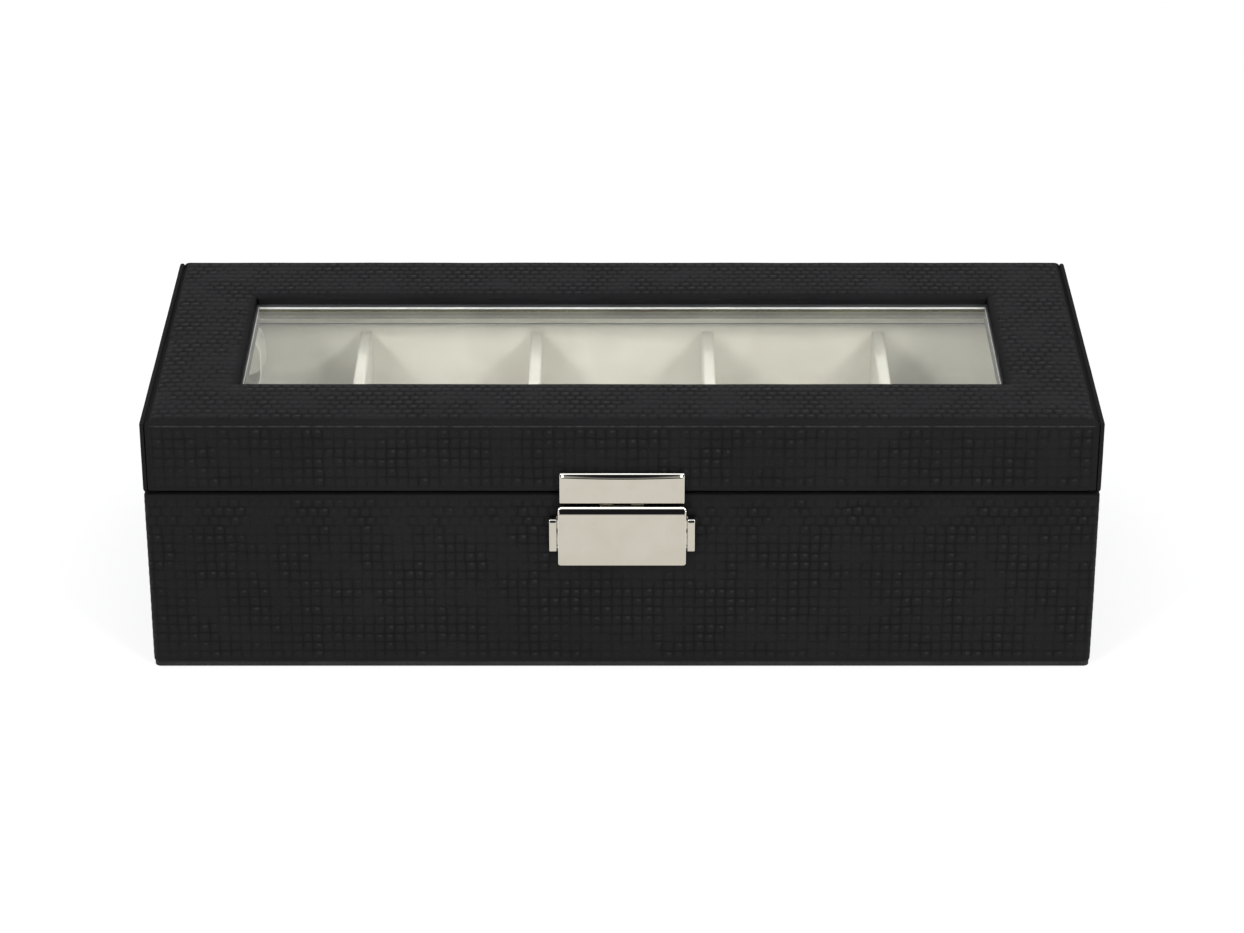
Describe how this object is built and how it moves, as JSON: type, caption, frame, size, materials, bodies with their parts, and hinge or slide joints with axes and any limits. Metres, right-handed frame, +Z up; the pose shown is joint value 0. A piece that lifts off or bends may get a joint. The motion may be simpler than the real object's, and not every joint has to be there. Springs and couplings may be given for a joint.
{
  "type": "watch box",
  "caption": "Leather-covered watch display box with a hinged glazed lid, velvet-lined compartments with lift-out pillows, and a chromed flip catch.",
  "frame": {"origin": "middle of the underside, on the surface that the box stands on", "axes": "+X to the right along the length, +Y from the catch to the hinges, +Z up"},
  "size_m": [0.3, 0.132, 0.0874],
  "materials": {
    "leather": "embossed",
    "underside": "matte",
    "board": "plain",
    "foam": "soft",
    "lining": "velvet",
    "pillow": "velvet",
    "ribbon": "satin",
    "glass": "clear",
    "chrome": "polished",
    "steel": "plain",
    "hinge_metal": "polished"
  },
  "bodies": {
    "base": {"underside_cover": "underside", "base_bottom_board": "board", "base_front_board": "board", "base_back_board": "board", "base_left_board": "board", "base_right_board": "board", "base_leather_wrap": "leather", "lining_floor": "lining", "lining_front": "lining", "lining_back": "lining", "lining_left": "lining", "lining_right": "lining", "divider_1": "lining", "divider_2": "lining", "divider_3": "lining", "divider_4": "lining", "latch_mount_plate": "chrome", "latch_pivot_pin": "steel", "latch_mount_nails": "steel", "latch_spring": "steel", "hinge_left_base_leaf": "hinge_metal", "hinge_right_base_leaf": "hinge_metal", "hinge_left_pin": "hinge_metal", "hinge_right_pin": "hinge_metal", "hinge_base_screws": "hinge_metal", "lid_stay_ribbon": "ribbon"},
    "lid": {"lid_front_board": "board", "lid_back_board": "board", "lid_left_board": "board", "lid_right_board": "board", "lid_top_panel": "board", "lid_foam_pad": "foam", "lid_leather_cover": "leather", "lid_left_leather": "leather", "lid_right_leather": "leather", "glass_pane": "glass", "lid_liner_frame": "lining", "lid_lining_front": "lining", "lid_lining_back": "lining", "lid_lining_left": "lining", "lid_lining_right": "lining", "catch_plate": "chrome", "catch_studs": "steel", "hinge_left_lid_leaf": "hinge_metal", "hinge_right_lid_leaf": "hinge_metal", "hinge_lid_screws": "hinge_metal"},
    "catch_lever": {"latch_lever": "chrome"},
    "pillow_1": {"pillow_1": "pillow"},
    "pillow_2": {"pillow_2": "pillow"},
    "pillow_3": {"pillow_3": "pillow"},
    "pillow_4": {"pillow_4": "pillow"},
    "pillow_5": {"pillow_5": "pillow"}
  },
  "joints": [
    {"name": "lid_hinge", "type": "hinge", "parent": "base", "child": "lid", "pos_m": [0, 0.0641, 0.0622], "axis": [-1, 0, 0], "range_deg": [0, 95], "deforming": ["lid_stay_ribbon"]},
    {"name": "catch_lever_pivot", "type": "hinge", "parent": "base", "child": "catch_lever", "pos_m": [0, -0.0641, 0.04875], "axis": [1, 0, 0], "range_deg": [0, 10], "stiffness_Nm_per_rad": 0.05, "springref_deg": -2.86, "deforming": ["latch_spring"]},
    {"name": "pillow_1_lift", "type": "slide", "parent": "base", "child": "pillow_1", "axis": [0, 0, 1], "range_m": [0, 0.03]},
    {"name": "pillow_2_lift", "type": "slide", "parent": "base", "child": "pillow_2", "axis": [0, 0, 1], "range_m": [0, 0.03]},
    {"name": "pillow_3_lift", "type": "slide", "parent": "base", "child": "pillow_3", "axis": [0, 0, 1], "range_m": [0, 0.03]},
    {"name": "pillow_4_lift", "type": "slide", "parent": "base", "child": "pillow_4", "axis": [0, 0, 1], "range_m": [0, 0.03]},
    {"name": "pillow_5_lift", "type": "slide", "parent": "base", "child": "pillow_5", "axis": [0, 0, 1], "range_m": [0, 0.03]}
  ]
}
